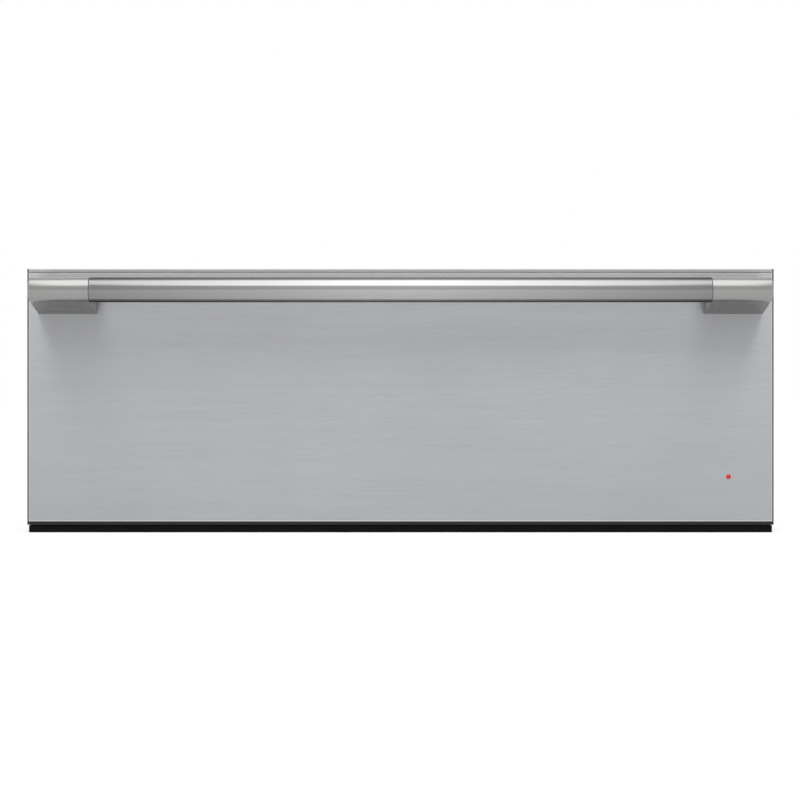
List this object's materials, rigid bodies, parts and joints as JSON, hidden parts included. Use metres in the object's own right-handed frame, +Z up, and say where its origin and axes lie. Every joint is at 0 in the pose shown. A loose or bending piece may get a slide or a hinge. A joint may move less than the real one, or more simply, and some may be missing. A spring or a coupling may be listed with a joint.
{
  "type": "warming drawer",
  "caption": "Warming drawer with a wide stainless overlay front, full-width tube handle, dark base strip, heated box and a pan with a wire rack on full-extension ball slides.",
  "frame": {"origin": "bottom centre of the whole object, on the plane its runners stand on", "axes": "+Z up, the drawer's front faces -Y and the drawer opens towards -Y, +X to the right seen from the front"},
  "size_m": [0.756, 0.6528, 0.267],
  "materials": {
    "front_steel": "fine horizontal brushing, satin",
    "handle_steel": "fine brushing round the tube, bright satin",
    "bracket_steel": "brushed casting, satin",
    "dark_strip": "dark grey-brown, satin",
    "black_strip": "black powder coat",
    "inner_steel": "bright cold-rolled, satin",
    "plate_steel": "galvanised, faint spangle",
    "slide_steel": "bright zinc",
    "cage_brass": "plain",
    "screw_steel": "zinc",
    "runner_steel": "dark grey coat",
    "rack_chrome": "bright plated wire",
    "element_sheath": "heat-darkened sheath",
    "probe_steel": "satin",
    "glass_wool": "compressed fibre",
    "seal_rubber": "matt black",
    "red_lens": "clear red, glossy",
    "strip_plastic": "gloss black",
    "window_plastic": "smoked, glossy",
    "key_plastic": "soft black",
    "circuit_board": "green board, populated",
    "gland_plastic": "black nylon",
    "loom_sleeve": "braided black sleeve"
  },
  "bodies": {
    "chassis": {"base_runners": "runner_steel", "base_trim": "black_strip", "casing_base": "plate_steel", "casing_left": "plate_steel", "casing_right": "plate_steel", "casing_top": "plate_steel", "casing_rear": "plate_steel", "front_frame": "inner_steel", "liner_left": "inner_steel", "liner_right": "inner_steel", "liner_top": "inner_steel", "liner_floor": "inner_steel", "liner_rear": "inner_steel", "insulation_wrap": "glass_wool", "insulation_base": "glass_wool", "insulation_rear": "glass_wool", "rear_partition": "plate_steel", "slide_outer_left": "slide_steel", "slide_outer_right": "slide_steel", "heating_element": "element_sheath", "element_clips": "plate_steel", "temperature_probe": "probe_steel", "limit_thermostat": "probe_steel", "power_board": "circuit_board", "cord_gland": "gland_plastic", "wiring_loom": "loom_sleeve", "control_panel": "strip_plastic", "display_window": "window_plastic", "control_board": "circuit_board", "indicator_lamp": "red_lens", "casing_screws": "screw_steel"},
    "drawer": {"front_skin": "front_steel", "front_top_trim": "front_steel", "front_bottom_trim": "dark_strip", "front_inner_panel": "inner_steel", "front_insulation": "glass_wool", "front_gasket": "seal_rubber", "handle_tube": "handle_steel", "handle_bracket_left": "bracket_steel", "handle_bracket_right": "bracket_steel", "drawer_screws": "screw_steel", "indicator_lens": "red_lens", "drawer_pan": "inner_steel", "pan_carrier_left": "plate_steel", "pan_carrier_right": "plate_steel", "slide_inner_left": "slide_steel", "slide_inner_right": "slide_steel"},
    "slide_mid_left": {"slide_mid_left": "slide_steel"},
    "slide_mid_right": {"slide_mid_right": "slide_steel"},
    "cage_outer_left": {"ball_cage_outer_left": "cage_brass"},
    "cage_outer_right": {"ball_cage_outer_right": "cage_brass"},
    "cage_inner_left": {"ball_cage_inner_left": "cage_brass"},
    "cage_inner_right": {"ball_cage_inner_right": "cage_brass"},
    "vent_plate": {"vent_slider": "plate_steel"},
    "rack": {"rack": "rack_chrome"},
    "key_power": {"button_power": "key_plastic"},
    "key_up": {"button_up": "key_plastic"},
    "key_down": {"button_down": "key_plastic"},
    "key_timer": {"button_timer": "key_plastic"}
  },
  "joints": [
    {"name": "drawer_slide", "type": "slide", "parent": "chassis", "child": "drawer", "axis": [0, -1, 0], "range_m": [0, 0.43]},
    {"name": "vent_slide", "type": "slide", "parent": "drawer", "child": "vent_plate", "axis": [1, 0, 0], "range_m": [0, 0.012]},
    {"name": "rack_lift", "type": "slide", "parent": "drawer", "child": "rack", "axis": [0, 0, 1], "range_m": [0, 0.06]},
    {"name": "slide_mid_left_run", "type": "slide", "parent": "chassis", "child": "slide_mid_left", "axis": [0, -1, 0], "range_m": [0, 0.215]},
    {"name": "slide_mid_right_run", "type": "slide", "parent": "chassis", "child": "slide_mid_right", "axis": [0, -1, 0], "range_m": [0, 0.215]},
    {"name": "cage_outer_left_run", "type": "slide", "parent": "chassis", "child": "cage_outer_left", "axis": [0, -1, 0], "range_m": [0, 0.1075]},
    {"name": "cage_outer_right_run", "type": "slide", "parent": "chassis", "child": "cage_outer_right", "axis": [0, -1, 0], "range_m": [0, 0.1075]},
    {"name": "cage_inner_left_run", "type": "slide", "parent": "chassis", "child": "cage_inner_left", "axis": [0, -1, 0], "range_m": [0, 0.3225]},
    {"name": "cage_inner_right_run", "type": "slide", "parent": "chassis", "child": "cage_inner_right", "axis": [0, -1, 0], "range_m": [0, 0.3225]},
    {"name": "power_press", "type": "slide", "parent": "chassis", "child": "key_power", "axis": [0, 1, 0], "range_m": [0, 0.001], "stiffness_N_per_m": 400, "springref_m": -0.002},
    {"name": "up_press", "type": "slide", "parent": "chassis", "child": "key_up", "axis": [0, 1, 0], "range_m": [0, 0.001], "stiffness_N_per_m": 400, "springref_m": -0.002},
    {"name": "down_press", "type": "slide", "parent": "chassis", "child": "key_down", "axis": [0, 1, 0], "range_m": [0, 0.001], "stiffness_N_per_m": 400, "springref_m": -0.002},
    {"name": "timer_press", "type": "slide", "parent": "chassis", "child": "key_timer", "axis": [0, 1, 0], "range_m": [0, 0.001], "stiffness_N_per_m": 400, "springref_m": -0.002}
  ],
  "couplings": [
    {"joint": "slide_mid_left_run", "follows": "drawer_slide", "ratio": 0.5},
    {"joint": "slide_mid_right_run", "follows": "drawer_slide", "ratio": 0.5},
    {"joint": "cage_outer_left_run", "follows": "drawer_slide", "ratio": 0.25},
    {"joint": "cage_outer_right_run", "follows": "drawer_slide", "ratio": 0.25},
    {"joint": "cage_inner_left_run", "follows": "drawer_slide", "ratio": 0.75},
    {"joint": "cage_inner_right_run", "follows": "drawer_slide", "ratio": 0.75}
  ]
}
